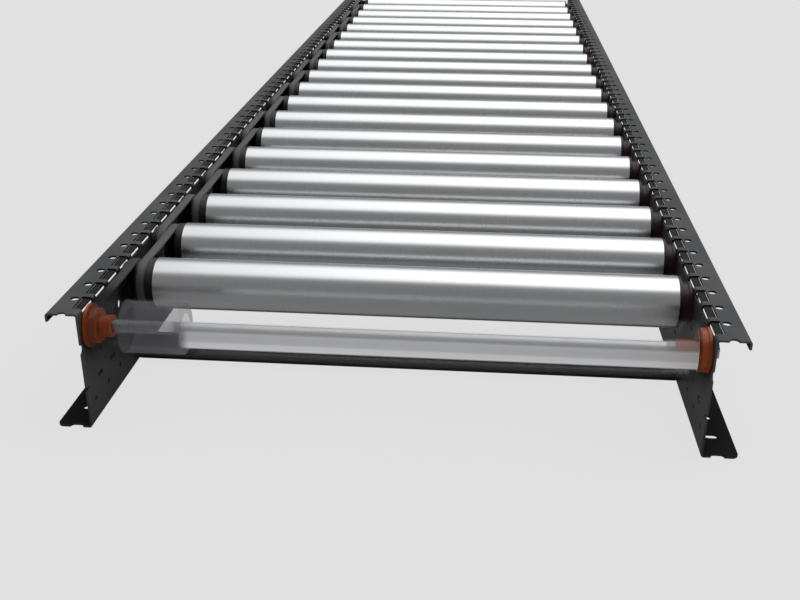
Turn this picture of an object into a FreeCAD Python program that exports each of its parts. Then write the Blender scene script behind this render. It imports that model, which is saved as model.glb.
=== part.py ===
"""Roller conveyor section: 20 rollers between two punched side frames, driven roller to roller.

X runs across the track, Y along it and Z up. The origin lies on the floor under the centre of
the footprint, and the near end is at -Y. Lengths are millimetres.
"""
import FreeCAD, Part
import math
import os

import Sketcher
from FreeCAD import Vector

DIMENSIONS = {
    # Layout of the section
    "roller_count": 20,
    "roller_pitch": 100,
    "holes_per_roller": 3,
    "axis_from_end": 25,
    "axis_height": 92.4,
    # Side frames: 2 mm sheet, top flange with a turned-down lip, bottom flange to stand on
    "inner_width": 545,
    "sheet_gauge": 2,
    "frame_height": 114.2,
    "top_flange": 29.4,
    "lip_drop": 8.2,
    "bottom_flange": 33,
    "bend_radius": 3,
    "inner_bend_radius": 1,
    "corner_radius": 6,
    "punch_margin": 1,
    # Punched holes, all on the same pitch; every third window stands over a roller
    "window_reach": 9.3,
    "window_depth": 5.4,
    "window_length": 26,
    "flange_hole_offset": 14.6,
    "flange_hole_radius": 4,
    "upper_hole_height": 79.4,
    "upper_hole_radius": 4.6,
    "web_slot_height": 39.2,
    "web_slot_radius": 2.7,
    "web_slot_straight": 7,
    "small_hole_height": 21.5,
    "small_hole_radius": 2.6,
    "foot_slot_offset": 14.8,
    "foot_slot_radius": 3.5,
    "foot_slot_straight": 5,
    "shaft_hole_radius": 6.6,
    # Plastic plugs in the windows
    "plug_height": 1.7,
    "plug_recess": 1.6,
    "plug_outer_gap": 0.5,
    # Cross members and their screws
    "cross_count": 3,
    "cross_first": 152,
    "cross_spacing": 848,
    "cross_depth": 30,
    "cross_bottom": 1.4,
    "cross_top": 17.4,
    "cross_wall": 2,
    "nut_length": 18,
    "cross_screw_height": 10.4,
    "cross_screw_radius": 3,
    "cross_head_flats": 10,
    "cross_head_height": 4,
    "cross_screw_length": 16,
    # Shafts, holders and the screws in the shaft ends
    "shaft_radius": 6,
    "shaft_tap_radius": 4,
    "shaft_tap_depth": 24,
    "holder_plate": 2.6,
    "holder_radius": 20,
    "right_collar_radius": 19,
    "right_collar_length": 5.8,
    "right_hub_radius": 8.5,
    "right_hub_length": 25,
    "left_collar_radius": 16,
    "left_collar_length": 7.2,
    "left_hub_radius": 10,
    "left_hub_length": 19,
    "washer_radius": 9,
    "washer_gauge": 1.6,
    "shaft_head_flats": 14,
    "shaft_head_height": 4.6,
    "shaft_screw_length": 20,
    # Roller tubes and what sits in their ends
    "tube_radius": 25,
    "tube_wall": 1.5,
    "tube_left": 239,
    "tube_right": 260,
    "rim_radius": 24.3,
    "rim_width": 8,
    "rib_radius": 22.5,
    "rib_width": 1.8,
    "track_radius": 20,
    "track_width": 9,
    "outer_rim_width": 1.6,
    "rib_groove_depth": 1.3,
    "rib_groove_pitch": 2,
    "rib_groove_count": 4,
    "head_bore": 17.2,
    "head_bore_depth": 22,
    "head_insert": 42,
    "head_core": 8,
    "carrier_width": 12,
    "cap_rim_width": 3,
    "cap_insert": 23.5,
    "cap_bore": 9.6,
    "bearing_width": 8,
    "bearing_radius": 14,
    "outer_ring_bore": 11.5,
    "inner_ring_radius": 8.5,
    "seat_gap": 0.05,
    # Belts between neighbouring rollers
    "belt_width": 8.4,
    "belt_gauge": 3,
    "belt_gap": 0.3,
}

HOLE_PITCH = "(Dims.roller_pitch / Dims.holes_per_roller)"
FRAME_LENGTH = "(Dims.roller_count * Dims.roller_pitch)"
NEAR_END = f"(0 - {FRAME_LENGTH} / 2)"
FIRST_AXIS = f"({NEAR_END} + Dims.axis_from_end)"
WINDOW_START = "(Dims.axis_from_end - Dims.window_length / 2)"
WINDOW_END = "(Dims.axis_from_end + Dims.window_length / 2)"
WINDOW_COUNT = "(Dims.roller_count * Dims.holes_per_roller - 1)"
WEB_INNER = "(Dims.inner_width / 2)"
WEB_OUTER = "(Dims.inner_width / 2 + Dims.sheet_gauge)"
TUBE_BORE = "(Dims.tube_radius - Dims.tube_wall)"
HEAD_INNER_END = "(Dims.head_insert - Dims.tube_left)"
CAP_INNER_END = "(Dims.tube_right - Dims.cap_insert)"

doc = FreeCAD.newDocument("RollerConveyor")
nodes = []


def fill_sheet():
    """Put every driving dimension in the sheet, one alias to a row."""
    sheet = doc.addObject("Spreadsheet::Sheet", "Dims")
    for row, (alias, value) in enumerate(DIMENSIONS.items(), start=1):
        sheet.set(f"A{row}", alias)
        sheet.set(f"B{row}", str(value))
        sheet.setAlias(f"B{row}", alias)
    doc.recompute()


def new_body(name, along="0", height="0"):
    """Start a sub-part whose local axes are the part's, shifted along Y and up Z."""
    body = doc.addObject("PartDesign::Body", name)
    body.Label = name
    body.AllowCompound = True
    body.setExpression("Placement.Base.y", along)
    body.setExpression("Placement.Base.z", height)
    nodes.append(body)
    return body


def origin_feature(body, role):
    return next(f for f in body.Origin.OriginFeatures if f.Role == role)


def new_sketch(body, plane, offset="0"):
    """Sketch on one of the body's own origin planes, moved along the plane's normal."""
    sketch = body.newObject("Sketcher::SketchObject", f"{body.Name}_sketch")
    sketch.AttachmentSupport = [(origin_feature(body, plane), "")]
    sketch.MapMode = "FlatFace"
    sketch.setExpression("AttachmentOffset.Base.z", offset)
    return sketch


def number(expression):
    """Present value of a sheet expression."""
    return float(doc.Dims.evalExpression(expression))


def hold(sketch, constraints, expressions):
    """Add constraints in one go and bind the last of them, in order, to sheet expressions."""
    indices = sketch.addConstraint(constraints)
    for index, expression in zip(indices[len(indices) - len(expressions):], expressions):
        sketch.setExpression(f"Constraints[{index}]", expression)


def point_at(geometry, point, across, up):
    """Constraints and expressions that hold one point at a place from the sketch's origin."""
    places = (("DistanceX", across), ("DistanceY", up))
    constraints = [
        Sketcher.Constraint(kind, -1, 1, geometry, point, number(place)) for kind, place in places
    ]
    return constraints, [across, up]


def outline(sketch, corners):
    """Closed loop of straight lines through corners, each a pair of sheet expressions."""
    first = sketch.GeometryCount
    count = len(corners)
    points = [Vector(number(across), number(up), 0) for across, up in corners]
    ends = points[1:] + points[:1]
    sketch.addGeometry([Part.LineSegment(start, end) for start, end in zip(points, ends)])
    constraints, expressions = [], []
    for i in range(count):
        following = first + (i + 1) % count
        constraints.append(Sketcher.Constraint("Coincident", first + i, 2, following, 1))
    for i, corner in enumerate(corners):
        held, bound = point_at(first + i, 1, *corner)
        constraints += held
        expressions += bound
    hold(sketch, constraints, expressions)


def rectangle(sketch, left, right, bottom, top):
    outline(sketch, [(left, bottom), (right, bottom), (right, top), (left, top)])


def circle(sketch, across, up, radius):
    centre, size = Vector(number(across), number(up), 0), number(radius)
    index = sketch.addGeometry(Part.Circle(centre, Vector(0, 0, 1), size))
    constraints, expressions = point_at(index, 3, across, up)
    constraints.append(Sketcher.Constraint("Radius", index, size))
    hold(sketch, constraints, expressions + [radius])


def long_hole(sketch, left, right, up, radius):
    """Straight-sided slot with round ends, its long axis across the sketch."""
    first = sketch.GeometryCount
    start, end, height, size = number(left), number(right), number(up), number(radius)
    normal = Vector(0, 0, 1)
    round_start = Part.Circle(Vector(start, height, 0), normal, size)
    round_end = Part.Circle(Vector(end, height, 0), normal, size)
    lower, upper = height - size, height + size
    sketch.addGeometry([
        Part.ArcOfCircle(round_start, math.pi / 2, math.pi * 1.5),
        Part.LineSegment(Vector(start, lower, 0), Vector(end, lower, 0)),
        Part.ArcOfCircle(round_end, -math.pi / 2, math.pi / 2),
        Part.LineSegment(Vector(end, upper, 0), Vector(start, upper, 0)),
    ])
    constraints = [
        Sketcher.Constraint("Tangent", first + i, 2, first + (i + 1) % 4, 1) for i in range(4)
    ]
    expressions = []
    for arc, across in ((first, left), (first + 2, right)):
        held, bound = point_at(arc, 3, across, up)
        constraints += held
        expressions += bound
    constraints.append(Sketcher.Constraint("Radius", first, size))
    hold(sketch, constraints, expressions + [radius])


def pad(body, sketch, length, backwards=False):
    feature = body.newObject("PartDesign::Pad", f"{body.Name}_pad")
    feature.Profile = (sketch, [""])
    feature.setExpression("Length", length)
    feature.Reversed = backwards
    return feature


def pocket(body, sketch, depth):
    """Cut from the sketch towards the back of its plane, and make sure that it cuts."""
    doc.recompute()
    before = body.Tip.Shape.Volume
    feature = body.newObject("PartDesign::Pocket", f"{body.Name}_pocket")
    feature.Profile = (sketch, [""])
    feature.setExpression("Length", depth)
    doc.recompute()
    if feature.Shape.Volume > before - 1:
        raise RuntimeError(f"{feature.Label} cuts nothing")
    return feature


def revolve(body, sketch):
    """Turn the sketch about the roller axis, which is the sketch's horizontal axis."""
    feature = body.newObject("PartDesign::Revolution", f"{body.Name}_revolution")
    feature.Profile = (sketch, [""])
    feature.ReferenceAxis = (sketch, ["H_Axis"])
    feature.Angle = 360
    return feature


def repeat(body, features, count, spacing):
    """Repeat features along the track, count times at the given spacing."""
    feature = body.newObject("PartDesign::LinearPattern", f"{body.Name}_pattern")
    feature.Originals = features
    feature.Direction = (origin_feature(body, "Y_Axis"), [""])
    feature.setExpression("Length", f"({count} - 1) * {spacing}")
    feature.setExpression("Occurrences", count)
    body.Tip = feature


def mirror_to_left(source, name):
    """The left-hand twin of a right-hand sub-part, across the middle plane of the track."""
    twin = doc.addObject("Part::Mirroring", name)
    twin.Label = name
    twin.Source = source
    twin.Normal = Vector(1, 0, 0)
    nodes.append(twin)


def edges_near(feature, places, direction):
    """Names of the feature's straight edges along one axis that pass through given places."""
    names = []
    for number, edge in enumerate(feature.Shape.Edges, start=1):
        middle = edge.CenterOfMass
        run = edge.Vertexes[-1].Point - edge.Vertexes[0].Point
        along = abs(run.normalize().dot(direction)) > 0.999
        offsets = [(middle - place).cross(direction).Length for place in places]
        if along and min(offsets) < 0.01:
            names.append(f"Edge{number}")
    return names


def fillet(body, base, edges, radius):
    feature = body.newObject("PartDesign::Fillet", f"{body.Name}_fillet")
    feature.Base = (base, edges)
    feature.setExpression("Radius", radius)
    doc.recompute()
    return feature


def bend_places(depth):
    """Corners of the frame's profile, depth 0 on the outer skin or 1 inside the sheet."""
    gauge = DIMENSIONS["sheet_gauge"] * depth
    web = DIMENSIONS["inner_width"] / 2 + gauge
    top = DIMENSIONS["frame_height"] - gauge
    lip = DIMENSIONS["inner_width"] / 2 + DIMENSIONS["top_flange"] - gauge
    return [Vector(web, 0, gauge), Vector(web, 0, top), Vector(lip, 0, top)]


def foot_corners():
    """The four standing corners of the bottom flange's free edge, as lines along Z."""
    edge = DIMENSIONS["inner_width"] / 2 + DIMENSIONS["bottom_flange"]
    length = DIMENSIONS["roller_count"] * DIMENSIONS["roller_pitch"]
    return [Vector(edge, 0, 0), Vector(edge, length, 0)]


def side_frame():
    """Bent and punched sheet: web, top flange with lip, bottom flange, both flanges outwards."""
    body = new_body("right_side_frame", NEAR_END)
    gauge = "Dims.sheet_gauge"
    lip = f"{WEB_INNER} + Dims.top_flange"
    foot = f"{WEB_INNER} + Dims.bottom_flange"
    top, lip_end = "Dims.frame_height", "Dims.frame_height - Dims.lip_drop"
    profile = new_sketch(body, "XZ_Plane")
    outline(profile, [
        (WEB_INNER, "0"), (foot, "0"), (foot, gauge), (WEB_OUTER, gauge),
        (WEB_OUTER, f"{top} - {gauge}"), (f"{lip} - {gauge}", f"{top} - {gauge}"),
        (f"{lip} - {gauge}", lip_end), (lip, lip_end), (lip, top), (WEB_INNER, top),
    ])
    sheet = pad(body, profile, FRAME_LENGTH, backwards=True)
    doc.recompute()
    outer = edges_near(sheet, bend_places(0), Vector(0, 1, 0))
    bent = fillet(body, sheet, outer, "Dims.bend_radius")
    inner = edges_near(bent, bend_places(1), Vector(0, 1, 0))
    bent = fillet(body, bent, inner, "Dims.inner_bend_radius")
    corners = edges_near(bent, foot_corners(), Vector(0, 0, 1))
    fillet(body, bent, corners, "Dims.corner_radius")
    punch_frame(body)
    return body


def punch_frame(body):
    """Windows, holes and slots of the side frame, each punched once and then repeated."""
    margin = "Dims.punch_margin"
    above = f"Dims.frame_height + {margin}"
    outside = f"{WEB_OUTER} + {margin}"
    through = f"Dims.sheet_gauge + 2 * {margin}"

    flange_hole = new_sketch(body, "XY_Plane", above)
    circle(flange_hole, f"{WEB_INNER} + Dims.flange_hole_offset", "0", "Dims.flange_hole_radius")
    on_pitch = [pocket(body, flange_hole, through)]
    upper_hole = new_sketch(body, "YZ_Plane", outside)
    circle(upper_hole, "0", "Dims.upper_hole_height", "Dims.upper_hole_radius")
    on_pitch.append(pocket(body, upper_hole, through))
    web_slot = new_sketch(body, "YZ_Plane", outside)
    half_slot = "Dims.web_slot_straight / 2"
    long_hole(web_slot, f"-{half_slot}", half_slot, "Dims.web_slot_height", "Dims.web_slot_radius")
    on_pitch.append(pocket(body, web_slot, through))
    foot_slot = new_sketch(body, "XY_Plane", f"Dims.sheet_gauge + {margin}")
    slot_middle = f"{WEB_INNER} + Dims.foot_slot_offset"
    half_slot = "Dims.foot_slot_straight / 2"
    slot_ends = (f"{slot_middle} - {half_slot}", f"{slot_middle} + {half_slot}")
    long_hole(foot_slot, *slot_ends, "0", "Dims.foot_slot_radius")
    on_pitch.append(pocket(body, foot_slot, through))
    rows = "(Dims.roller_count * Dims.holes_per_roller + 1)"
    repeat(body, on_pitch, rows, HOLE_PITCH)

    window = new_sketch(body, "XY_Plane", above)
    window_sides = (f"{WEB_INNER} - {margin}", f"{WEB_INNER} + Dims.window_reach")
    rectangle(window, *window_sides, WINDOW_START, WINDOW_END)
    repeat(body, [pocket(body, window, f"Dims.window_depth + {margin}")], WINDOW_COUNT, HOLE_PITCH)
    small_hole = new_sketch(body, "YZ_Plane", outside)
    half_step = f"{HOLE_PITCH} / 2"
    circle(small_hole, half_step, "Dims.small_hole_height", "Dims.small_hole_radius")
    gaps = "(Dims.roller_count * Dims.holes_per_roller)"
    repeat(body, [pocket(body, small_hole, through)], gaps, HOLE_PITCH)

    shaft_hole = new_sketch(body, "YZ_Plane", outside)
    circle(shaft_hole, "Dims.axis_from_end", "Dims.axis_height", "Dims.shaft_hole_radius")
    repeat(body, [pocket(body, shaft_hole, through)], "Dims.roller_count", "Dims.roller_pitch")
    screw_hole = new_sketch(body, "YZ_Plane", outside)
    circle(screw_hole, "Dims.cross_first", "Dims.cross_screw_height", "Dims.cross_screw_radius")
    repeat(body, [pocket(body, screw_hole, through)], "Dims.cross_count", "Dims.cross_spacing")


def window_plugs():
    """Plastic plugs in the flange part of the windows, which leave a slit open in the web."""
    body = new_body("right_window_plugs", NEAR_END)
    top = "Dims.frame_height - Dims.plug_recess"
    plug = new_sketch(body, "XY_Plane", f"{top} - Dims.plug_height")
    outer_side = f"{WEB_INNER} + Dims.window_reach - Dims.plug_outer_gap"
    rectangle(plug, WEB_OUTER, outer_side, WINDOW_START, WINDOW_END)
    block = pad(body, plug, "Dims.plug_height")
    repeat(body, [block], WINDOW_COUNT, HOLE_PITCH)
    return body


def turned(name, profiles):
    """Pieces turned about the roller axes: one ring per profile, repeated at every roller."""
    body = new_body(name, FIRST_AXIS, "Dims.axis_height")
    sketch = new_sketch(body, "XY_Plane")
    for profile in profiles:
        outline(sketch, profile)
    rings = revolve(body, sketch)
    repeat(body, [rings], "Dims.roller_count", "Dims.roller_pitch")
    return body


def sleeve(start, end, bore, radius):
    """Profile of a plain ring between two places on the axis."""
    return [(start, bore), (end, bore), (end, radius), (start, radius)]


def holder_profile(sign, side):
    """Round plate on the web, a collar, and a hub that reaches into the roller."""
    web, plate = f"{sign}{WEB_INNER}", f"{sign}({WEB_INNER} - Dims.holder_plate)"
    collar_end = f"{sign}({WEB_INNER} - Dims.holder_plate - Dims.{side}_collar_length)"
    hub_end = f"{sign}({WEB_INNER} - Dims.holder_plate - Dims.{side}_hub_length)"
    shaft, rim = "Dims.shaft_radius", "Dims.holder_radius"
    collar, hub = f"Dims.{side}_collar_radius", f"Dims.{side}_hub_radius"
    return [(web, shaft), (web, rim), (plate, rim), (plate, collar), (collar_end, collar),
            (collar_end, hub), (hub_end, hub), (hub_end, shaft)]


def shaft_profile():
    """Solid round bar with a tapped hole in each end."""
    shaft, tap = "Dims.shaft_radius", "Dims.shaft_tap_radius"
    floor = f"{WEB_OUTER} - Dims.shaft_tap_depth"
    return [(f"-{WEB_OUTER}", shaft), (f"-{WEB_OUTER}", tap), (f"-({floor})", tap),
            (f"-({floor})", "0"), (floor, "0"), (floor, tap), (WEB_OUTER, tap), (WEB_OUTER, shaft)]


def inner_ring_profiles():
    left = (HEAD_INNER_END, f"{HEAD_INNER_END} + Dims.bearing_width")
    right = (CAP_INNER_END, f"{CAP_INNER_END} + Dims.bearing_width")
    bore, radius = "Dims.shaft_radius", "Dims.inner_ring_radius"
    return [sleeve(*left, bore, radius), sleeve(*right, bore, radius)]


def ribbed_track(outer_side):
    """Belt track seen from its outer side inwards: fine grooves that the belt's ribs run in."""
    crest, root = "Dims.track_radius", "Dims.track_radius - Dims.rib_groove_depth"
    points = [(outer_side, crest)]
    land = "(Dims.track_width - Dims.rib_groove_count * Dims.rib_groove_pitch) / 2"
    for groove in range(DIMENSIONS["rib_groove_count"]):
        start = f"{outer_side} + {land} + {groove} * Dims.rib_groove_pitch"
        points.append((start, crest))
        points.append((f"{start} + Dims.rib_groove_pitch / 2", root))
    points.append((f"{outer_side} + Dims.track_width - {land}", crest))
    points.append((f"{outer_side} + Dims.track_width", crest))
    return points


def drive_head_profile():
    """Head of the driven end: rim against the tube, two belt tracks with a rib between them."""
    tube_end = "(0 - Dims.tube_left)"
    inner_track = f"({tube_end} - Dims.rim_width - Dims.track_width)"
    outer_track = f"({inner_track} - Dims.rib_width - Dims.track_width)"
    outer_end = f"({outer_track} - Dims.outer_rim_width)"
    bore_floor = f"{outer_end} + Dims.head_bore_depth"
    return [
        (bore_floor, "Dims.head_bore"), (outer_end, "Dims.head_bore"),
        (outer_end, "Dims.rib_radius"), (outer_track, "Dims.rib_radius"),
        *ribbed_track(outer_track),
        (f"{inner_track} - Dims.rib_width", "Dims.rib_radius"), (inner_track, "Dims.rib_radius"),
        *ribbed_track(inner_track),
        (f"{tube_end} - Dims.rim_width", "Dims.rim_radius"), (tube_end, "Dims.rim_radius"),
        (tube_end, TUBE_BORE), (HEAD_INNER_END, TUBE_BORE),
        (HEAD_INNER_END, "Dims.head_core"), (bore_floor, "Dims.head_core"),
    ]


def end_cap_profile():
    """Cap of the far end: rim against the tube, seat for the bearing, hole for the holder's hub."""
    rim = "Dims.tube_right + Dims.cap_rim_width"
    seat_floor = f"{CAP_INNER_END} + Dims.bearing_width"
    return [
        (rim, "Dims.cap_bore"), (rim, "Dims.rim_radius"), ("Dims.tube_right", "Dims.rim_radius"),
        ("Dims.tube_right", TUBE_BORE), (CAP_INNER_END, TUBE_BORE),
        (CAP_INNER_END, "Dims.bearing_radius"), (seat_floor, "Dims.bearing_radius"),
        (seat_floor, "Dims.cap_bore"),
    ]


def roller(number):
    """One roller: its tube, and the head, cap and bearing parts that turn with the tube."""
    along = f"{FIRST_AXIS} + {number - 1} * Dims.roller_pitch"
    tube = new_body(f"roller_{number:02d}_tube", along, "Dims.axis_height")
    wall = new_sketch(tube, "XY_Plane")
    outline(wall, sleeve("0 - Dims.tube_left", "Dims.tube_right", TUBE_BORE, "Dims.tube_radius"))
    revolve(tube, wall)

    ends = new_body(f"roller_{number:02d}_ends", along, "Dims.axis_height")
    turned_parts = new_sketch(ends, "XY_Plane")
    ring = ("Dims.outer_ring_bore", "Dims.bearing_radius - Dims.seat_gap")
    carrier_start = f"{HEAD_INNER_END} + Dims.seat_gap"
    carrier_end = f"{HEAD_INNER_END} + Dims.carrier_width"
    left_seat = f"{HEAD_INNER_END} + Dims.bearing_width"
    right_seat = f"{CAP_INNER_END} + Dims.bearing_width - Dims.seat_gap"
    outline(turned_parts, drive_head_profile())
    outline(turned_parts, sleeve(carrier_start, carrier_end, "Dims.bearing_radius", TUBE_BORE))
    outline(turned_parts, end_cap_profile())
    outline(turned_parts, sleeve(carrier_start, left_seat, *ring))
    outline(turned_parts, sleeve(CAP_INNER_END, right_seat, *ring))
    revolve(ends, turned_parts)


def hexagon(sketch, across, up, flats):
    """Hexagon with two of its corners above and below the centre."""
    half, side = f"{flats} / 2", f"{flats} / sqrt(12)"
    tip = f"{flats} / sqrt(3)"
    corners = [("0", f"-{tip}"), (half, f"-{side}"), (half, side),
               ("0", tip), (f"-{half}", side), (f"-{half}", f"-{side}")]
    outline(sketch, [(f"{across} + {x}", f"{up} + {y}") for x, y in corners])


def hex_screws(name, row, head, shank, seat):
    """Row of hexagon screws; the head stands on seat and the shank points at the track."""
    first, height, count, spacing = row
    flats, head_height = head
    radius, length = shank
    body = new_body(name, NEAR_END)
    head_sketch = new_sketch(body, "YZ_Plane", seat)
    hexagon(head_sketch, first, height, flats)
    head_pad = pad(body, head_sketch, head_height)
    shank_sketch = new_sketch(body, "YZ_Plane", seat)
    circle(shank_sketch, first, height, radius)
    shank_pad = pad(body, shank_sketch, length, backwards=True)
    repeat(body, [head_pad, shank_pad], count, spacing)
    return body


def cross_members():
    """Rectangular tubes between the webs, just clear of the floor."""
    body = new_body("cross_members", NEAR_END)
    front = "(Dims.cross_first - Dims.cross_depth / 2)"
    back = "(Dims.cross_first + Dims.cross_depth / 2)"
    wall, bottom, top = "Dims.cross_wall", "Dims.cross_bottom", "Dims.cross_top"
    section = new_sketch(body, "YZ_Plane", f"-{WEB_INNER}")
    rectangle(section, front, back, bottom, top)
    rectangle(section, f"{front} + {wall}", f"{back} - {wall}", f"{bottom} + {wall}", f"{top} - {wall}")
    tube = pad(body, section, "Dims.inner_width")
    repeat(body, [tube], "Dims.cross_count", "Dims.cross_spacing")


def end_nuts():
    """Threaded blocks pressed into the ends of the cross members."""
    body = new_body("cross_member_end_nuts", NEAR_END)
    wall = "Dims.cross_wall"
    front = f"Dims.cross_first - Dims.cross_depth / 2 + {wall}"
    back = f"Dims.cross_first + Dims.cross_depth / 2 - {wall}"
    bottom, top = f"Dims.cross_bottom + {wall}", f"Dims.cross_top - {wall}"
    blocks = []
    for start in (f"-{WEB_INNER}", f"{WEB_INNER} - Dims.nut_length"):
        section = new_sketch(body, "YZ_Plane", start)
        rectangle(section, front, back, bottom, top)
        circle(section, "Dims.cross_first", "Dims.cross_screw_height", "Dims.cross_screw_radius")
        blocks.append(pad(body, section, "Dims.nut_length"))
    repeat(body, blocks, "Dims.cross_count", "Dims.cross_spacing")


def belts(name, track_side, first_roller, count):
    """Belts that each join two neighbouring rollers, on every second gap of the track."""
    body = new_body(name, f"{FIRST_AXIS} + {first_roller} * Dims.roller_pitch", "Dims.axis_height")
    start = f"{track_side} + (Dims.track_width - Dims.belt_width) / 2"
    loop = new_sketch(body, "YZ_Plane", start)
    inside = "Dims.track_radius + Dims.belt_gap"
    long_hole(loop, "0", "Dims.roller_pitch", "0", inside)
    long_hole(loop, "0", "Dims.roller_pitch", "0", f"{inside} + Dims.belt_gauge")
    belt = pad(body, loop, "Dims.belt_width")
    repeat(body, [belt], count, "(2 * Dims.roller_pitch)")


def build():
    fill_sheet()
    mirror_to_left(side_frame(), "left_side_frame")
    mirror_to_left(window_plugs(), "left_window_plugs")
    cross_members()
    end_nuts()
    cross_row = (
        "Dims.cross_first", "Dims.cross_screw_height", "Dims.cross_count", "Dims.cross_spacing",
    )
    cross_head = ("Dims.cross_head_flats", "Dims.cross_head_height")
    cross_shank = ("Dims.cross_screw_radius", "Dims.cross_screw_length")
    right_screws = hex_screws("right_cross_screws", cross_row, cross_head, cross_shank, WEB_OUTER)
    mirror_to_left(right_screws, "left_cross_screws")

    turned("shafts", [shaft_profile()])
    turned("bearing_inner_rings", inner_ring_profiles())
    turned("right_shaft_holders", [holder_profile("", "right")])
    turned("left_shaft_holders", [holder_profile("-", "left")])
    head_seat = f"({WEB_OUTER} + Dims.washer_gauge)"
    washer = sleeve(WEB_OUTER, head_seat, "Dims.shaft_tap_radius", "Dims.washer_radius")
    mirror_to_left(turned("right_shaft_washers", [washer]), "left_shaft_washers")
    shaft_row = (
        "Dims.axis_from_end", "Dims.axis_height", "Dims.roller_count", "Dims.roller_pitch",
    )
    shaft_head = ("Dims.shaft_head_flats", "Dims.shaft_head_height")
    shaft_shank = ("Dims.shaft_tap_radius", "Dims.shaft_screw_length")
    right_screws = hex_screws("right_shaft_screws", shaft_row, shaft_head, shaft_shank, head_seat)
    mirror_to_left(right_screws, "left_shaft_screws")

    inner_track = "(0 - Dims.tube_left - Dims.rim_width - Dims.track_width)"
    outer_track = f"({inner_track} - Dims.rib_width - Dims.track_width)"
    belts("outer_track_belts", outer_track, 0, "(Dims.roller_count / 2)")
    belts("inner_track_belts", inner_track, 1, "(Dims.roller_count / 2 - 1)")
    for number in range(1, DIMENSIONS["roller_count"] + 1):
        roller(number)


def check_and_write():
    """Stop on any failed object, then write one STEP file per sub-part."""
    doc.recompute()
    for item in doc.Objects:
        if {"Invalid", "Error"} & set(item.State):
            raise RuntimeError(f"{item.Label}: {item.State}")
    os.makedirs("parts", exist_ok=True)
    for node in nodes:
        shape = node.Shape
        if shape.isNull() or not shape.isValid() or not shape.Solids:
            raise RuntimeError(f"{node.Label} has no valid solid")
    for node in nodes:
        node.Shape.exportStep(f"parts/{node.Label}.step")
        box = node.Shape.BoundBox
        print(f"{node.Label}: {len(node.Shape.Solids)} solids, {node.Shape.Volume / 1000:.1f} cm3,",
              f"x {box.XMin:.1f}..{box.XMax:.1f} y {box.YMin:.1f}..{box.YMax:.1f}",
              f"z {box.ZMin:.1f}..{box.ZMax:.1f}")


build()
check_and_write()
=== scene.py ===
import math

import bmesh
import bpy
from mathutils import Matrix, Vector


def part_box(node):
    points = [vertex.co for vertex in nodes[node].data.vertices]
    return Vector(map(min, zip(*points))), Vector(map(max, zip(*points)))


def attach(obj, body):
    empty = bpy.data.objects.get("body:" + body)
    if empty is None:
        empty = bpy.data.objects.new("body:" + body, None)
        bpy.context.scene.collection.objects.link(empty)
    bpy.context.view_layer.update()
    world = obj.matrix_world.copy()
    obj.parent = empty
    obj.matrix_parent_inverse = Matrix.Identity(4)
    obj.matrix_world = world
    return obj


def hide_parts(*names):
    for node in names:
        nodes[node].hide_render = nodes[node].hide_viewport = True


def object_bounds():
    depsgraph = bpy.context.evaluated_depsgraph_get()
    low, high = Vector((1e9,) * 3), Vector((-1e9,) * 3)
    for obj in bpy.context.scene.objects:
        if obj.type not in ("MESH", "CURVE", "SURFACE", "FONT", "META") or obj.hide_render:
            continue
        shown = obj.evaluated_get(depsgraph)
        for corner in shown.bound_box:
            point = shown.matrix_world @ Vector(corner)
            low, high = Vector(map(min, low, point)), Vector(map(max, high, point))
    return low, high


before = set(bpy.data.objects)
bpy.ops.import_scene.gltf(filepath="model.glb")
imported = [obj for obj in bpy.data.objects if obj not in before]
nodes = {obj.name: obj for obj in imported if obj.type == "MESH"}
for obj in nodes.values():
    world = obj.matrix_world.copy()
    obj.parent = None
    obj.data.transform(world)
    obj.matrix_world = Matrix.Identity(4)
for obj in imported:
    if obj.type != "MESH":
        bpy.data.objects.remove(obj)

cad_box = [list(corner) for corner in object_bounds()]
near_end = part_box("right_side_frame")[0].y
roller_count = sum(name.endswith("_tube") for name in nodes)


# Camera: it stands before the near end, a little to the right of the track's middle line, and
# looks down along the track.
sensor_width = 36.0
lens = 46.162
camera_right, camera_back, camera_up = 0.0765, 0.7800, 0.4918
camera_turn = (1.1482, -0.0022, 0.0870)

camera_data = bpy.data.cameras.new("camera")
camera_data.sensor_width = sensor_width
camera_data.lens = lens
camera = bpy.data.objects.new("camera", camera_data)
camera.location = (camera_right, near_end - camera_back, camera_up)
camera.rotation_euler = camera_turn
bpy.context.scene.collection.objects.link(camera)
bpy.context.scene.camera = camera
bpy.context.scene.view_settings.view_transform = "Standard"


# Studio: a pale, faintly glowing floor, and a sky that is grey all round with one broad white
# softbox across the track overhead, which is what the rollers mirror along their tops.
sky_colour = (0.98, 0.99, 1.0)
sky_strength, softbox_strength = 0.24, 1.8
far_edge_dark, far_edge_lit = math.radians(68), math.radians(34)
near_edge_dark, near_edge_lit = math.radians(-28), math.radians(-13)
left_edge_dark, left_edge_lit = -0.72, 0.15
floor_half = 300.0
floor_gap = 0.0005
floor_colour = (0.05, 0.05, 0.05)
floor_glow = 0.71


def add_node(tree, kind, **settings):
    node = tree.nodes.new(kind)
    for key, value in settings.items():
        setattr(node, key, value)
    return node


def feed(tree, socket, value):
    """Set a socket to a number or a colour, or link another node's output to it."""
    if isinstance(value, bpy.types.NodeSocket):
        tree.links.new(value, socket)
    elif isinstance(value, tuple):
        socket.default_value = (*value, 1)
    else:
        socket.default_value = value


def calculate(tree, operation, *values):
    """A Math node; each value is a number or another node's output."""
    node = add_node(tree, "ShaderNodeMath", operation=operation)
    for socket, value in zip(node.inputs, values):
        feed(tree, socket, value)
    return node.outputs[0]


def soft_step(tree, value, start, end):
    """0 at start and 1 at end, with a smooth ramp between."""
    node = add_node(tree, "ShaderNodeMapRange", interpolation_type="SMOOTHSTEP")
    tree.links.new(value, node.inputs["Value"])
    node.inputs["From Min"].default_value = start
    node.inputs["From Max"].default_value = end
    return node.outputs["Result"]


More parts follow.
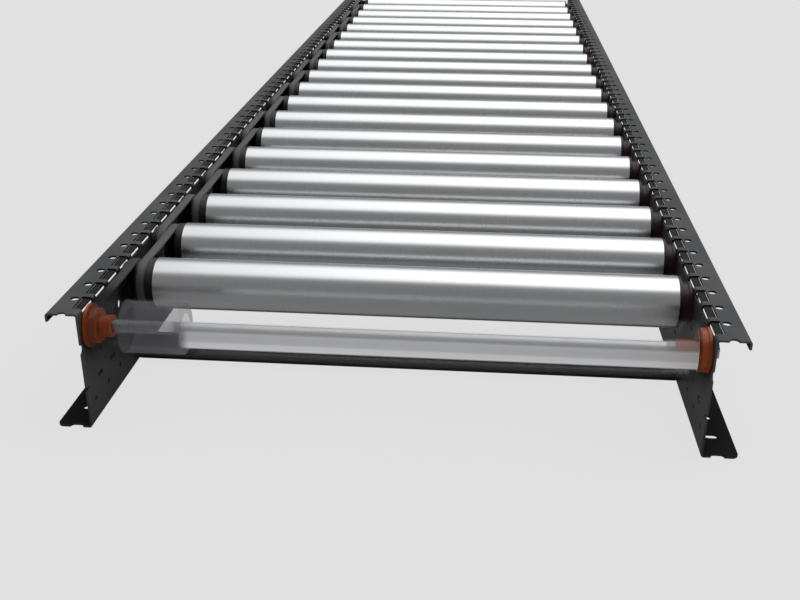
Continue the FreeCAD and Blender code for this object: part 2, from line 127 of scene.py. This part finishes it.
def split_axes(tree, vector):
    """The X, Y and Z outputs of a vector."""
    node = add_node(tree, "ShaderNodeSeparateXYZ")
    tree.links.new(vector, node.inputs[0])
    return node.outputs


world = bpy.data.worlds.new("studio")
world.use_nodes = True
sky = world.node_tree
direction = split_axes(sky, add_node(sky, "ShaderNodeTexCoord").outputs["Generated"])
lean = calculate(sky, "ARCTAN2", direction["Y"], direction["Z"])
far_side = soft_step(sky, lean, far_edge_dark, far_edge_lit)
near_side = soft_step(sky, lean, near_edge_dark, near_edge_lit)
across = soft_step(sky, direction["X"], left_edge_dark, left_edge_lit)
softbox = calculate(sky, "MULTIPLY", calculate(sky, "MULTIPLY", far_side, near_side), across)
glow = calculate(sky, "MULTIPLY_ADD", softbox, softbox_strength, sky_strength)
sky.links.new(glow, sky.nodes["Background"].inputs["Strength"])
feed(sky, sky.nodes["Background"].inputs["Color"], sky_colour)
bpy.context.scene.world = world

floor_mesh = bpy.data.meshes.new("floor")
floor_height = cad_box[0][2] - floor_gap
floor_corners = [(-floor_half, -floor_half), (floor_half, -floor_half),
                 (floor_half, floor_half), (-floor_half, floor_half)]
floor_mesh.from_pydata([(x, y, floor_height) for x, y in floor_corners], [], [(0, 1, 2, 3)])
floor = bpy.data.objects.new("floor", floor_mesh)
bpy.context.scene.collection.objects.link(floor)
floor.visible_glossy = False
floor_paint = bpy.data.materials.new("floor_paint")
floor_paint.use_nodes = True
floor_shader = floor_paint.node_tree.nodes["Principled BSDF"]
feed(floor_paint.node_tree, floor_shader.inputs["Base Color"], floor_colour)
floor_shader.inputs["Roughness"].default_value = 1.0
floor_shader.inputs["Specular IOR Level"].default_value = 0.0
feed(floor_paint.node_tree, floor_shader.inputs["Emission Color"], (1, 1, 1))
floor_shader.inputs["Emission Strength"].default_value = floor_glow
floor_mesh.materials.append(floor_paint)


# Side frames: 2 mm steel sheet, punched and folded, then powder coated in a dark anthracite.
# They stand on their bottom flanges and carry everything else.
coat_colour = (0.04, 0.041, 0.043)
# The lighter edge colour is partly wear and partly a painted highlight; so are the other edge
# colours below.
coat_worn_and_lit = (0.12, 0.12, 0.125)
dust_colour = (0.2, 0.195, 0.18)
# Painted shade: near black, laid on the folds and gaps that ambient occlusion finds.
painted_recess_shade = (0.003, 0.003, 0.003)
# Painted shade for the up-facing faces near the floor, and the height it reaches.
low_painted_shade = (0.006, 0.006, 0.0055)
low_shade_height = 0.012


def value_group(name, inputs, outputs):
    """Empty node group with float inputs (name: default) and float outputs."""
    group = bpy.data.node_groups.new(name, "ShaderNodeTree")
    for socket, default in inputs.items():
        made = group.interface.new_socket(socket, in_out="INPUT", socket_type="NodeSocketFloat")
        made.default_value = default
    for socket in outputs:
        group.interface.new_socket(socket, in_out="OUTPUT", socket_type="NodeSocketFloat")
    return group, group.nodes.new("NodeGroupInput"), group.nodes.new("NodeGroupOutput")


def place_group(tree, group, **values):
    node = add_node(tree, "ShaderNodeGroup", node_tree=group)
    for key, value in values.items():
        node.inputs[key].default_value = value
    return node


def object_place(tree):
    return add_node(tree, "ShaderNodeTexCoord").outputs["Object"]


def surface_normal(tree):
    return add_node(tree, "ShaderNodeNewGeometry").outputs["Normal"]


def noise_value(tree, place, scale, detail):
    """Noise at a place; scale is a number or another node's output."""
    noise = add_node(tree, "ShaderNodeTexNoise")
    noise.inputs["Detail"].default_value = detail
    tree.links.new(place, noise.inputs["Vector"])
    feed(tree, noise.inputs["Scale"], scale)
    return noise.outputs["Fac"]


def weaken(tree, mask, depth):
    """1 where the mask is 1, and down to 1 less depth where it is 0."""
    return calculate(tree, "SUBTRACT", calculate(tree, "MULTIPLY_ADD", mask, depth, 1.0), depth)


def make_grain_group():
    """Fine surface grain over a slow cloudiness, both in object space."""
    sizes = {"Size": 0.002, "Cloud Size": 0.12}
    group, given, made = value_group("grain", sizes, ["Grain", "Cloud"])
    place = object_place(group)
    for size, output, detail in (("Size", "Grain", 4), ("Cloud Size", "Cloud", 3)):
        scale = calculate(group, "DIVIDE", 1.0, given.outputs[size])
        group.links.new(noise_value(group, place, scale, detail), made.inputs[output])
    return group


def make_edge_wear_and_highlight_group():
    """Mask of the edges, broken up by noise: paint and plastic wear through there, and a painted
    highlight lies along them.
    """
    flat, sharp = 0.995, 0.86
    patch_scale, patch_detail, patch_low, patch_high = 55.0, 5, 0.42, 0.62
    sizes = {"Width": 0.0006, "Break Up": 0.6}
    group, given, made = value_group("edge_wear_and_highlight", sizes, ["Mask"])
    bevel = add_node(group, "ShaderNodeBevel", samples=4)
    group.links.new(given.outputs["Width"], bevel.inputs["Radius"])
    facing = add_node(group, "ShaderNodeVectorMath", operation="DOT_PRODUCT")
    group.links.new(bevel.outputs[0], facing.inputs[0])
    group.links.new(surface_normal(group), facing.inputs[1])
    edge = soft_step(group, facing.outputs["Value"], flat, sharp)
    noise = noise_value(group, object_place(group), patch_scale, patch_detail)
    patches = soft_step(group, noise, patch_low, patch_high)
    kept = weaken(group, patches, given.outputs["Break Up"])
    group.links.new(calculate(group, "MULTIPLY", edge, kept), made.inputs["Mask"])
    return group


def make_dust_group():
    """Mask of dust that settles on faces that look up, more in some places than in others."""
    upright, level = 0.3, 1.0
    patch_scale, patch_detail, patch_low, patch_high = 14.0, 6, 0.35, 0.75
    group, given, made = value_group("dust", {"Amount": 0.3}, ["Mask"])
    up = soft_step(group, split_axes(group, surface_normal(group))["Z"], upright, level)
    noise = noise_value(group, object_place(group), patch_scale, patch_detail)
    patches = soft_step(group, noise, patch_low, patch_high)
    mask = calculate(group, "MULTIPLY", up, patches)
    mask = calculate(group, "MULTIPLY", mask, given.outputs["Amount"])
    group.links.new(mask, made.inputs["Mask"])
    return group


def make_painted_shade_group():
    """1 on open faces and 0 deep in the folds and gaps: the mask for painted shade, from ambient
    occlusion.
    """
    reach, hidden_below, open_above = 0.12, 0.3, 0.85
    group, given, made = value_group("recess_shade", {"Depth": 0.9}, ["Open"])
    hidden = add_node(group, "ShaderNodeAmbientOcclusion", samples=6)
    hidden.inputs["Distance"].default_value = reach
    unshaded = soft_step(group, hidden.outputs["AO"], hidden_below, open_above)
    group.links.new(weaken(group, unshaded, given.outputs["Depth"]), made.inputs["Open"])
    return group


grain_group = make_grain_group()
edge_wear_and_highlight_group = make_edge_wear_and_highlight_group()
dust_group = make_dust_group()
painted_shade_group = make_painted_shade_group()


def mix_colours(tree, factor, first, second):
    """Mix node between two colours; each is three numbers or another node's output."""
    node = add_node(tree, "ShaderNodeMix", data_type="RGBA")
    tree.links.new(factor, node.inputs["Factor"])
    feed(tree, node.inputs[6], first)
    feed(tree, node.inputs[7], second)
    return node.outputs[2]


def ramp_value(tree, value, low, high):
    """Spread a 0 to 1 value between two numbers."""
    node = add_node(tree, "ShaderNodeMapRange")
    tree.links.new(value, node.inputs["Value"])
    node.inputs["To Min"].default_value = low
    node.inputs["To Max"].default_value = high
    return node.outputs["Result"]


def add_bump(tree, shader, height, strength, distance):
    bump = add_node(tree, "ShaderNodeBump")
    bump.inputs["Strength"].default_value = strength
    bump.inputs["Distance"].default_value = distance
    tree.links.new(height, bump.inputs["Height"])
    tree.links.new(bump.outputs[0], shader.inputs["Normal"])


def coated_finish(name, colour, worn_and_lit, rough, dust=0.2, recess_shade=0.9, shine=0.3):
    """Painted or moulded surface: cloudy colour, grain, edge wear and painted highlight, dust,
    painted shade in recesses.
    """
    cloud_gain, rub_and_highlight_share, dust_roughness = 1.35, 0.5, 0.25
    material = bpy.data.materials.new(name)
    material.use_nodes = True
    tree = material.node_tree
    shader = tree.nodes["Principled BSDF"]
    surface = place_group(tree, grain_group, **{"Size": 0.0018, "Cloud Size": 0.16})
    rubbed_and_lit = place_group(tree, edge_wear_and_highlight_group, **{"Width": 0.0007, "Break Up": 0.7})
    up_facing_mask = place_group(tree, dust_group, Amount=dust).outputs["Mask"]
    exposed = place_group(tree, painted_shade_group, Depth=recess_shade).outputs["Open"]
    lighter = tuple(min(1.0, channel * cloud_gain) for channel in colour)
    cloudy = mix_colours(tree, surface.outputs["Cloud"], colour, lighter)
    # Lighter edges: partly wear, partly a painted highlight.
    bare_and_lit = calculate(tree, "MULTIPLY", rubbed_and_lit.outputs["Mask"], rub_and_highlight_share)
    with_edges = mix_colours(tree, bare_and_lit, cloudy, worn_and_lit)
    coloured = mix_colours(tree, up_facing_mask, with_edges, dust_colour)
    # Painted shade: the colour goes towards near black, and the shine down, in folds and gaps.
    shaded = mix_colours(tree, exposed, painted_recess_shade, coloured)
    tree.links.new(shaded, shader.inputs["Base Color"])
    unshaded_shine = calculate(tree, "MULTIPLY", exposed, shine)
    tree.links.new(unshaded_shine, shader.inputs["Specular IOR Level"])
    gloss = ramp_value(tree, surface.outputs["Grain"], rough - 0.06, rough + 0.08)
    gloss = calculate(tree, "MULTIPLY_ADD", up_facing_mask, dust_roughness, gloss)
    tree.links.new(gloss, shader.inputs["Roughness"])
    add_bump(tree, shader, surface.outputs["Grain"], 0.25, 0.0002)
    return material


def finish_node(name, material, bevel=None):
    """Give a carried-over node its finish and, where its edges are sharp, a small bevel."""
    piece = nodes[name]
    piece.data.materials.clear()
    piece.data.materials.append(material)
    if bevel:
        rounding = piece.modifiers.new("rounding", "BEVEL")
        rounding.width = bevel
        rounding.segments = 2
        rounding.limit_method = "ANGLE"
        rounding.angle_limit = math.radians(40)
        rounding.harden_normals = True


def add_low_painted_shade(material, height, low_shade_colour):
    """Darken the faces that look up below a height, and take away their shine: painted shade on
    the bottom flanges.
    """
    shine_lost = 0.85
    tree = material.node_tree
    shader = tree.nodes["Principled BSDF"]
    unshaded = shader.inputs["Base Color"].links[0].from_socket
    shine = shader.inputs["Specular IOR Level"].links[0].from_socket
    place = split_axes(tree, object_place(tree))
    facing = split_axes(tree, surface_normal(tree))
    low = soft_step(tree, place["Z"], height, height * 0.5)
    up_facing_mask = calculate(tree, "MULTIPLY", low, soft_step(tree, facing["Z"], 0.2, 0.9))
    tree.links.new(mix_colours(tree, up_facing_mask, unshaded, low_shade_colour), shader.inputs["Base Color"])
    kept = calculate(tree, "MULTIPLY_ADD", up_facing_mask, -shine_lost, 1.0)
    shine = calculate(tree, "MULTIPLY", kept, shine)
    tree.links.new(shine, shader.inputs["Specular IOR Level"])


anthracite = coated_finish("anthracite_powder_coat", coat_colour, coat_worn_and_lit, 0.4)
# Painted shade: the bottom flanges, which face up under the top flanges, are darkened.
add_low_painted_shade(anthracite, low_shade_height, low_painted_shade)
for name in ("left_side_frame", "right_side_frame"):
    finish_node(name, anthracite)


# Window plugs: black moulded blocks, pushed into the punched windows of the frames and held
# there a little below the top flange.
plug_colour = (0.009, 0.009, 0.0095)
plug_worn_and_lit = (0.03, 0.03, 0.03)

plug_plastic = coated_finish("plug_plastic", plug_colour, plug_worn_and_lit, 0.55, dust=0.04, shine=0.15)
for name in ("left_window_plugs", "right_window_plugs"):
    finish_node(name, plug_plastic, bevel=0.0004)


# Cross members: rectangular steel tubes, painted black, that hold the side frames apart. They
# are screwed up through the webs into threaded blocks in their ends.
cross_colour = (0.02, 0.02, 0.021)
cross_worn_and_lit = (0.09, 0.09, 0.09)

cross_paint = coated_finish("cross_member_paint", cross_colour, cross_worn_and_lit, 0.4, dust=0.08)
finish_node("cross_members", cross_paint, bevel=0.001)


# Screws, washers and threaded blocks: steel with a thin, cloudy passivated zinc coat. The small
# bevels are the rounded edges that upsetting and plating leave.
zinc_colour, zinc_tint = (0.52, 0.5, 0.56), (0.66, 0.65, 0.63)


def plated_finish(name, colour, tint, rough):
    """Bare or plated metal: two cloudy tints and a fine grain in the gloss."""
    material = bpy.data.materials.new(name)
    material.use_nodes = True
    tree = material.node_tree
    shader = tree.nodes["Principled BSDF"]
    shader.inputs["Metallic"].default_value = 1.0
    surface = place_group(tree, grain_group, **{"Size": 0.0012, "Cloud Size": 0.02})
    clouded = mix_colours(tree, surface.outputs["Cloud"], colour, tint)
    tree.links.new(clouded, shader.inputs["Base Color"])
    gloss = ramp_value(tree, surface.outputs["Grain"], rough - 0.08, rough + 0.1)
    tree.links.new(gloss, shader.inputs["Roughness"])
    add_bump(tree, shader, surface.outputs["Grain"], 0.15, 0.0001)
    return material


zinc = plated_finish("passivated_zinc", zinc_colour, zinc_tint, 0.34)
for name in ("left_cross_screws", "right_cross_screws", "cross_member_end_nuts",
             "left_shaft_washers", "right_shaft_washers",
             "left_shaft_screws", "right_shaft_screws"):
    finish_node(name, zinc, bevel=0.0004)


# Shafts and the bearings' inner rings: drawn and ground steel. The first roller is a see-through
# one for show, so their finishes let go inside it, and the share that stays there is least.
shaft_colour, shaft_tint = (0.42, 0.42, 0.43), (0.54, 0.54, 0.55)
ring_colour, ring_tint = (0.5, 0.5, 0.51), (0.62, 0.62, 0.63)
first_roller_past, others_from = near_end + 0.05, near_end + 0.07
solid_left_of = -0.19
left_of_blend = 0.01


def fade_towards_end(material, clear_until, solid_from, least, left_of=None):
    """Fade a finish out towards the near end, or only on one side of left_of."""
    tree = material.node_tree
    axes = split_axes(tree, object_place(tree))
    solid = soft_step(tree, axes["Y"], clear_until, solid_from)
    if left_of is not None:
        right = soft_step(tree, axes["X"], left_of - left_of_blend, left_of)
        solid = calculate(tree, "MAXIMUM", solid, right)
    alpha = ramp_value(tree, solid, least, 1.0)
    tree.links.new(alpha, tree.nodes["Principled BSDF"].inputs["Alpha"])


ring_steel = plated_finish("ring_steel", ring_colour, ring_tint, 0.3)
fade_towards_end(ring_steel, first_roller_past, others_from, 0.06)
finish_node("bearing_inner_rings", ring_steel)
bright_steel = plated_finish("bright_drawn_steel", shaft_colour, shaft_tint, 0.55)
fade_towards_end(bright_steel, first_roller_past, others_from, 0.25, left_of=solid_left_of)
finish_node("shafts", bright_steel)


# Shaft holders: moulded plates on the inside of the webs, with hubs into the rollers. The first
# pair is bright orange; the others are the same plastic painted a much darker red-brown, as
# painted shade.
holder_orange, holder_worn_and_lit = (0.27, 0.052, 0.012), (0.42, 0.12, 0.04)
holder_shaded_brown = (0.03, 0.011, 0.009)

holder_plastic = coated_finish("holder_plastic", holder_orange, holder_worn_and_lit, 0.34,
                               dust=0.03, recess_shade=0.4)
holder_tree = holder_plastic.node_tree
holder_colour = holder_tree.nodes["Principled BSDF"].inputs["Base Color"]
orange = holder_colour.links[0].from_socket
holder_axes = split_axes(holder_tree, object_place(holder_tree))
# Painted shade: every holder past the first roller is darkened to red-brown.
shaded_holders = soft_step(holder_tree, holder_axes["Y"], first_roller_past, others_from)
holder_tree.links.new(mix_colours(holder_tree, shaded_holders, orange, holder_shaded_brown), holder_colour)
for name in ("left_shaft_holders", "right_shaft_holders"):
    finish_node(name, holder_plastic, bevel=0.0008)


# Roller tubes: cold-drawn steel tube, zinc plated and finely ground round its girth. All but
# the first roller have one.
tube_colour, tube_tint = (0.6, 0.605, 0.615), (0.7, 0.7, 0.7)
ground_line = 0.0007
least_rough, most_rough = 0.24, 0.34


def make_ground_group():
    """Grinding marks that run round a tube lying along X, and slow patches along it."""
    round_scale, line_detail = 8.0, 3
    patch_scale, patch_detail = 9.0, 4
    outputs = ["Lines", "Patches"]
    group, given, made = value_group("ground_tube", {"Line Size": 0.0006}, outputs)
    place = object_place(group)
    axes = split_axes(group, place)
    stretched = add_node(group, "ShaderNodeCombineXYZ")
    fine = calculate(group, "DIVIDE", axes["X"], given.outputs["Line Size"])
    group.links.new(fine, stretched.inputs["X"])
    for axis in ("Y", "Z"):
        coarse = calculate(group, "MULTIPLY", axes[axis], round_scale)
        group.links.new(coarse, stretched.inputs[axis])
    lines = noise_value(group, stretched.outputs[0], 1.0, line_detail)
    group.links.new(lines, made.inputs["Lines"])
    patches = noise_value(group, place, patch_scale, patch_detail)
    group.links.new(patches, made.inputs["Patches"])
    return group


ground_zinc = bpy.data.materials.new("ground_zinc_tube")
ground_zinc.use_nodes = True
tube_tree = ground_zinc.node_tree
tube_shader = tube_tree.nodes["Principled BSDF"]
tube_shader.inputs["Metallic"].default_value = 1.0
marks = place_group(tube_tree, make_ground_group(), **{"Line Size": ground_line})
patchy_zinc = mix_colours(tube_tree, marks.outputs["Patches"], tube_colour, tube_tint)
tube_tree.links.new(patchy_zinc, tube_shader.inputs["Base Color"])
satin = ramp_value(tube_tree, marks.outputs["Lines"], least_rough, most_rough)
tube_tree.links.new(satin, tube_shader.inputs["Roughness"])
add_bump(tube_tree, tube_shader, marks.outputs["Lines"], 0.05, 0.0001)
for number in range(2, roller_count + 1):
    finish_node(f"roller_{number:02d}_tube", ground_zinc)


# The first roller: a clear polished tube on smoke-tinted ends. Both are thin walls that let light
# through unbent, mirror a little at a slant and carry a faint, patchy haze.
clear_tint, clear_haze = (0.995, 0.995, 0.995), (0.92, 0.92, 0.93)
smoke_tint, smoke_haze = (0.97, 0.97, 0.975), (0.19, 0.19, 0.2)
mirror_colour = (0.9, 0.9, 0.9)
wall_ior, mirror_share = 1.3, 0.03
least_haze, most_haze = 0.004, 0.01
shell_steps = 96
tube_left, tube_right = -0.239, 0.26
tube_radius, tube_bore, tube_chamfer = 0.025, 0.0237, 0.0004
rim_radius, insert_radius, insert_bore = 0.0243, 0.0233, 0.014
head_left, head_bore = -0.2684, 0.0172
outer_rim_width, rib_width, rib_radius = 0.0016, 0.0018, 0.0225
track_width, track_radius = 0.009, 0.02
rim_width, insert_length = 0.008, 0.054
cap_right, cap_bore, cap_rim_width, cap_length = 0.263, 0.0096, 0.003, 0.0235
carrier_left, carrier_right = -0.198, -0.184


def band_mask(tree, value, start, end, blend):
    """1 between start and end, with soft ends."""
    return calculate(tree, "MULTIPLY", soft_step(tree, value, start - blend, start + blend),
                     soft_step(tree, value, end + blend, end - blend))


def mix_shaders(tree, factor, first, second):
    node = add_node(tree, "ShaderNodeMixShader")
    feed(tree, node.inputs[0], factor)
    tree.links.new(first, node.inputs[1])
    tree.links.new(second, node.inputs[2])
    return node.outputs[0]


def see_through_finish(name, tint, haze, rough, bands=(), sheen_bands=(), sheen_bands_from=0.0,
                       through=0.0):
    """Thin clear plastic. bands is a list of (start, end, share): how much haze covers, along X.
    The sheen bands are (lowest, highest, share), by how far the outside of the wall faces up: haze
    there is a painted sheen.
    through is how much of the haze's light comes through it from behind."""
    material = bpy.data.materials.new(name)
    material.use_nodes = True
    tree = material.node_tree
    tree.nodes.remove(tree.nodes["Principled BSDF"])
    surface = place_group(tree, grain_group, **{"Size": 0.004, "Cloud Size": 0.03})
    axes = split_axes(tree, object_place(tree))
    covered = ramp_value(tree, surface.outputs["Cloud"], least_haze, most_haze)
    for start, end, share in bands:
        inside = band_mask(tree, axes["X"], start, end, 0.001)
        patchy = ramp_value(tree, surface.outputs["Cloud"], share * 0.7, share * 1.3)
        covered = calculate(tree, "MULTIPLY_ADD", inside, patchy, covered)
    wall_side = add_node(tree, "ShaderNodeNewGeometry")
    facing = split_axes(tree, wall_side.outputs["Normal"])
    outside = calculate(tree, "SUBTRACT", 1.0, wall_side.outputs["Backfacing"])
    past_insert = soft_step(tree, axes["X"], sheen_bands_from - 0.002, sheen_bands_from + 0.01)
    outside = calculate(tree, "MULTIPLY", outside, past_insert)
    # Painted sheen: more haze on the outside of the wall where it faces a given way, past the
    # insert.
    for lowest, highest, share in sheen_bands:
        inside = band_mask(tree, facing["Z"], lowest, highest, 0.05)
        inside = calculate(tree, "MULTIPLY", inside, outside)
        covered = calculate(tree, "MULTIPLY_ADD", inside, share, covered)
    clear = add_node(tree, "ShaderNodeBsdfTransparent")
    mirror = add_node(tree, "ShaderNodeBsdfGlossy")
    front_lit = add_node(tree, "ShaderNodeBsdfDiffuse")
    back_lit = add_node(tree, "ShaderNodeBsdfTranslucent")
    shader_colours = ((clear, tint), (mirror, mirror_colour), (front_lit, haze), (back_lit, haze))
    for shader, colour in shader_colours:
        feed(tree, shader.inputs["Color"], colour)
    gloss = ramp_value(tree, surface.outputs["Grain"], rough, rough + 0.08)
    tree.links.new(gloss, mirror.inputs["Roughness"])
    slant = add_node(tree, "ShaderNodeFresnel")
    slant.inputs["IOR"].default_value = wall_ior
    mirrored = calculate(tree, "MULTIPLY", slant.outputs[0], mirror_share)
    wall = mix_shaders(tree, mirrored, clear.outputs[0], mirror.outputs[0])
    film = mix_shaders(tree, through, front_lit.outputs[0], back_lit.outputs[0])
    whole = mix_shaders(tree, covered, wall, film)
    tree.links.new(whole, tree.nodes["Material Output"].inputs["Surface"])
    return material


def stepped_outline(x, bore, steps, end_bore):
    """Outline from an open end over steps of (width, radius) to a last, open end."""
    points = [(x, bore)]
    for width, radius in steps:
        points.append((x, radius))
        x += width
        points.append((x, radius))
    points.append((x, end_bore))
    return points


def join_piece(name, mesh, finishes, sharp_angle):
    """Turn a built mesh into a piece with its finishes; steeper edges than the angle are sharp."""
    bmesh.ops.recalc_face_normals(mesh, faces=mesh.faces)
    data = bpy.data.meshes.new(name)
    mesh.to_mesh(data)
    mesh.free()
    data.set_sharp_from_angle(angle=math.radians(sharp_angle))
    for finish in finishes:
        data.materials.append(finish)
    piece = bpy.data.objects.new(name, data)
    bpy.context.scene.collection.objects.link(piece)
    return piece


def turned_shell(name, node, outlines, finish):
    """Thin shells turned about the first roller's axis, one for each outline of (x, radius)."""
    low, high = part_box(node)
    along, height = (low.y + high.y) / 2, (low.z + high.z) / 2
    turns = [2 * math.pi * step / shell_steps for step in range(shell_steps)]
    mesh = bmesh.new()
    for outline in outlines:
        rings = []
        for x, radius in outline:
            ring = []
            for turn in turns:
                place = (x, along + radius * math.cos(turn), height + radius * math.sin(turn))
                ring.append(mesh.verts.new(place))
            rings.append(ring)
        for ring, following in zip(rings, rings[1:]):
            for i in range(shell_steps):
                j = (i + 1) % shell_steps
                face = mesh.faces.new((ring[i], ring[j], following[j], following[i]))
                face.smooth = True
    piece = join_piece(name, mesh, [finish], 35)
    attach(piece, "roller_01")
    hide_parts(node)


# Painted sheen: light bands of haze on the tube's outer wall, by which way it faces.
tube_sheen_bands = [(-0.27, 0.0, 0.88), (0.0, 0.36, 0.7), (0.36, 0.66, 0.3)]
clear_plastic = see_through_finish("clear_tube", clear_tint, clear_haze, 0.06,
                                   sheen_bands=tube_sheen_bands, sheen_bands_from=carrier_right, through=0.75)
tube_outline = [
    (tube_left, tube_bore), (tube_left, tube_radius - tube_chamfer),
    (tube_left + tube_chamfer, tube_radius), (tube_right - tube_chamfer, tube_radius),
    (tube_right, tube_radius - tube_chamfer), (tube_right, tube_bore),
]
turned_shell("clear_tube_shell", "roller_01_tube", [tube_outline], clear_plastic)

insert_bands = [(tube_left, carrier_left, 0.26), (carrier_left, carrier_right, 0.34)]
smoke_plastic = see_through_finish("smoke_tint", smoke_tint, smoke_haze, 0.25, insert_bands)
head_steps = [
    (outer_rim_width, rib_radius), (track_width, track_radius), (rib_width, rib_radius),
    (track_width, track_radius), (rim_width, rim_radius), (insert_length, insert_radius),
]
cap_steps = [(-cap_rim_width, rim_radius), (-cap_length, insert_radius)]
end_outlines = [
    stepped_outline(head_left, head_bore, head_steps, insert_bore),
    stepped_outline(cap_right, cap_bore, cap_steps, insert_bore),
]
turned_shell("clear_ends_shell", "roller_01_ends", end_outlines, smoke_plastic)


# Drive heads and end caps: black glass-filled plastic, moulded, pressed into the tubes. The
# heads carry the belts on the left, and the caps close the right ends.
head_colour = (0.016, 0.016, 0.017)
head_worn_and_lit = (0.05, 0.05, 0.05)

head_plastic = coated_finish("head_plastic", head_colour, head_worn_and_lit, 0.36, dust=0.08)
for number in range(2, roller_count + 1):
    finish_node(f"roller_{number:02d}_ends", head_plastic)


# Belts: grey drive belts, each looped round the heads of two neighbouring rollers. Each is
# swept round its two tracks from one section: flat back, rounded edges and five ribs inside.
# The near end of the first one fades out, as the first roller does.
belt_gauge = 0.003
belt_ribs = 5
rib_depth = 0.0009
edge_round = 0.0006
roller_pitch = 0.1
belt_spacing = 2 * roller_pitch
turn_steps = 28
belt_colour, belt_worn_and_lit = (0.075, 0.075, 0.077), (0.11, 0.11, 0.11)
ghost_colour, ghost_worn_and_lit = (0.03, 0.03, 0.031), (0.06, 0.06, 0.06)
belt_gone, belt_whole = near_end + 0.035, near_end + 0.075


def belt_section(width):
    """Closed section as (across, out) pairs, out from the crests of the ribs."""
    rib = (width - 2 * edge_round) / belt_ribs
    points = [(0.0, rib_depth)]
    for count in range(belt_ribs):
        start = edge_round + count * rib
        points += [(start + 0.25 * rib, 0.0), (start + 0.75 * rib, 0.0), (start + rib, rib_depth)]
    points.append((width, rib_depth))
    corner = 0.3 * edge_round
    for side, inwards in ((width, -1), (0.0, 1)):
        rounded = [(side, belt_gauge - edge_round),
                   (side + inwards * corner, belt_gauge - corner),
                   (side + inwards * edge_round, belt_gauge)]
        points += rounded if inwards < 0 else rounded[::-1]
    return points


def sweep_belt(mesh, left, width, inner, first_y, height):
    """One closed belt round two rollers; inner is the radius at the crests of its ribs."""
    section = belt_section(width)
    rings = []
    for centre, start in ((first_y, 90), (first_y + roller_pitch, -90)):
        for step in range(turn_steps + 1):
            angle = math.radians(start + 180 * step / turn_steps)
            ring = []
            for across, out in section:
                reach = inner + out
                y, z = centre + reach * math.cos(angle), height + reach * math.sin(angle)
                ring.append(mesh.verts.new((left + across, y, z)))
            rings.append(ring)
    faces = []
    for ring, following in zip(rings, rings[1:] + rings[:1]):
        for i in range(len(section)):
            j = (i + 1) % len(section)
            faces.append(mesh.faces.new((ring[i], following[i], following[j], ring[j])))
    return faces


def make_belts(name, node, finishes):
    """All the belts of one track as one piece; the first belt takes the last finish."""
    low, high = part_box(node)
    outer = (high.z - low.z) / 2
    first_y, height = low.y + outer, (low.z + high.z) / 2
    belt_count = round((high.y - low.y + roller_pitch - 2 * outer) / belt_spacing)
    mesh = bmesh.new()
    for count in range(belt_count):
        y = first_y + count * belt_spacing
        for face in sweep_belt(mesh, low.x, high.x - low.x, outer - belt_gauge, y, height):
            face.smooth = True
            face.material_index = len(finishes) - 1 if count == 0 else 0
    piece = join_piece(name, mesh, finishes, 40)
    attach(piece, "frame")
    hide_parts(node)


belt_rubber = coated_finish("belt_rubber", belt_colour, belt_worn_and_lit, 0.55, dust=0.1, recess_shade=0.5)
ghost_belt = coated_finish("ghost_belt", ghost_colour, ghost_worn_and_lit, 0.55, dust=0.05, recess_shade=0.5)
fade_towards_end(ghost_belt, belt_gone, belt_whole, 0.08)
make_belts("outer_ribbed_belts", "outer_track_belts", [belt_rubber, ghost_belt])
make_belts("inner_ribbed_belts", "inner_track_belts", [belt_rubber])
